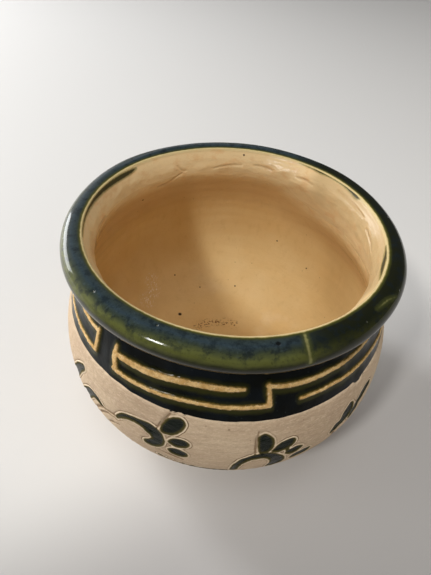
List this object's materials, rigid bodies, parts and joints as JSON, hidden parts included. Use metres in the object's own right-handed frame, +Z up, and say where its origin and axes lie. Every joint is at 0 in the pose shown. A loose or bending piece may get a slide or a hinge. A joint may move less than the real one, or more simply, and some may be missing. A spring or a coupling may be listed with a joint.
{
  "type": "yarn bowl",
  "caption": "Round thrown ceramic yarn bowl with a rolled rim, a raised fret line in a dark glazed band and palmettes on bare clay, open at the top.",
  "frame": {"origin": "centre of the foot ring's resting face", "axes": "+Z up along the pot's axis, the front of the bowl looks along -Y, +X to its right"},
  "size_m": [0.1604, 0.1604, 0.1125],
  "materials": {
    "body_clay": "bare fired stoneware, matte, pinkish beige",
    "foot_clay": "bare fired stoneware, matte, smoothed by the trimming tool",
    "fret_clay": "tan clay ridges, thinly washed with glaze",
    "liner": "glossy honey lining glaze with brown specks",
    "rim_glaze": "glossy slate blue glaze breaking to olive green",
    "band_glaze": "glossy blue-black glaze, olive where it thins"
  },
  "bodies": {
    "root": {"thrown_body": "body_clay", "rim_coil": "body_clay", "foot_ring": "foot_clay", "liner_glaze": "liner", "rim_glaze": "rim_glaze", "band_glaze": "band_glaze", "fret_ridges": "fret_clay"}
  },
  "joints": []
}
